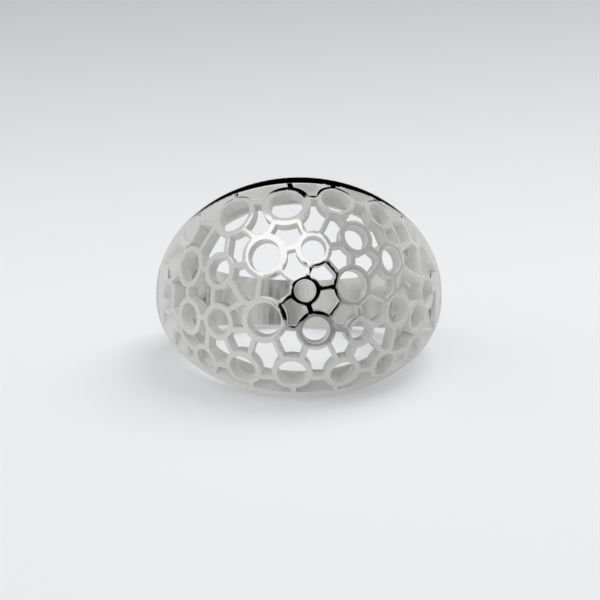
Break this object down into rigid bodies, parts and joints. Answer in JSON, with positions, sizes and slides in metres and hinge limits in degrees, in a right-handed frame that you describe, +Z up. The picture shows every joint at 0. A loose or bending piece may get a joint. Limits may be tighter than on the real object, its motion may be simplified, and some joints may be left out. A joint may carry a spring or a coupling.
{
  "type": "openwork dome ring",
  "caption": "Polished silver finger ring with a high pierced dome of circles and many-sided cells on a tapered band, lying on its side.",
  "frame": {"origin": "on the floor, at the middle of the footprint's box, with the ring lying on its dome rim and the back of its shank", "axes": "+Z up, the dome faces -Y and a little up, +X across the hand"},
  "size_m": [0.0254, 0.0258, 0.0182],
  "materials": {
    "openwork_dome": "polished sterling silver",
    "dome_rim": "polished sterling silver",
    "finger_lining": "polished sterling silver",
    "left_shoulder": "polished sterling silver",
    "right_shoulder": "polished sterling silver",
    "shank": "polished sterling silver"
  },
  "bodies": {
    "root": {"openwork_dome": "openwork_dome", "dome_rim": "dome_rim", "finger_lining": "finger_lining", "left_shoulder": "left_shoulder", "right_shoulder": "right_shoulder", "shank": "shank"}
  },
  "joints": []
}
